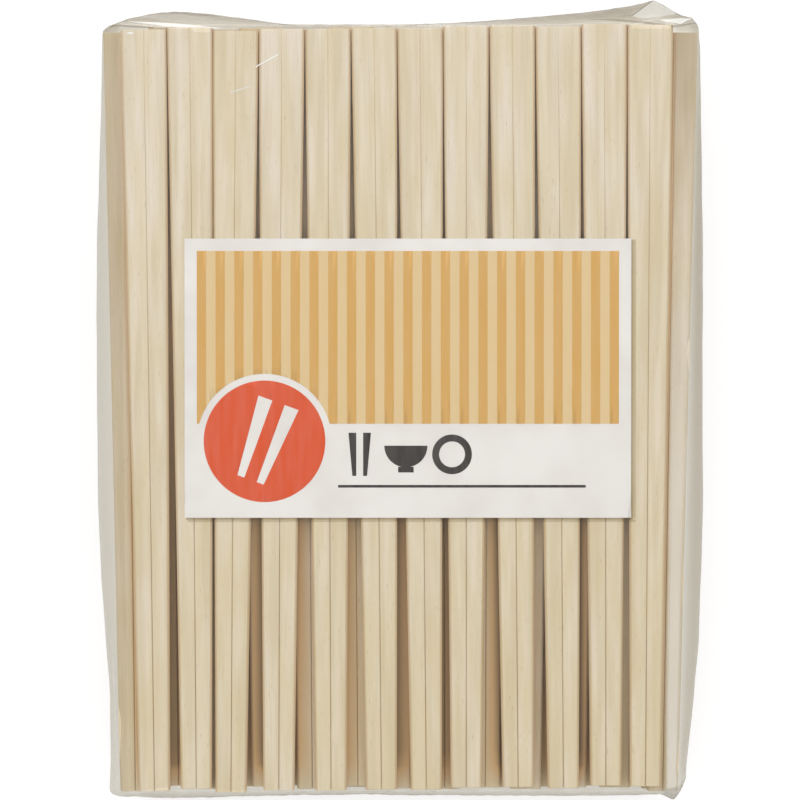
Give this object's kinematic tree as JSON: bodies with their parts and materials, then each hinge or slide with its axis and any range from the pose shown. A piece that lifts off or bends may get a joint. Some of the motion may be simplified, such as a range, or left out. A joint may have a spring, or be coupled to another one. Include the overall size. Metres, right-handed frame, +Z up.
{
  "type": "pack of disposable wooden chopsticks",
  "caption": "Flat sealed clear film pack of joined disposable wooden chopstick pairs, stacked in layers, with a striped label slip under the film.",
  "frame": {"origin": "middle of the underside, which the pack lies on, under the middle of the bundle", "axes": "+X across the pairs, +Y along them from tips to heads, +Z up from the underside towards the label"},
  "size_m": [0.1658, 0.2159, 0.0369],
  "materials": {
    "film": "thin clear packing film, glossy, with soft folds",
    "aspen": "planed pale aspen, unfinished",
    "paper": "uncoated white paper",
    "light_ochre_ink": "printed light ochre",
    "dark_ochre_ink": "printed dark ochre",
    "orange_ink": "printed orange",
    "black_ink": "printed warm black"
  },
  "bodies": {
    "root": {"film_bag": "film", "label_slip": "paper", "label_field": "light_ochre_ink", "label_stripes": "dark_ochre_ink", "label_spot": "orange_ink", "label_signs": "black_ink", "front_pair_01": "aspen", "front_pair_02": "aspen", "front_pair_03": "aspen", "front_pair_04": "aspen", "front_pair_05": "aspen", "front_pair_06": "aspen", "front_pair_07": "aspen", "front_pair_08": "aspen", "front_pair_09": "aspen", "front_pair_10": "aspen", "front_pair_11": "aspen", "front_pair_12": "aspen", "back_pair_01": "aspen", "back_pair_02": "aspen", "back_pair_03": "aspen", "back_pair_04": "aspen", "back_pair_05": "aspen", "back_pair_06": "aspen", "back_pair_07": "aspen", "back_pair_08": "aspen", "back_pair_09": "aspen", "back_pair_10": "aspen", "back_pair_11": "aspen", "back_pair_12": "aspen", "inner_layer_1": "aspen", "inner_layer_2": "aspen", "inner_layer_3": "aspen", "inner_layer_4": "aspen", "inner_layer_5": "aspen", "inner_layer_6": "aspen"}
  },
  "joints": []
}
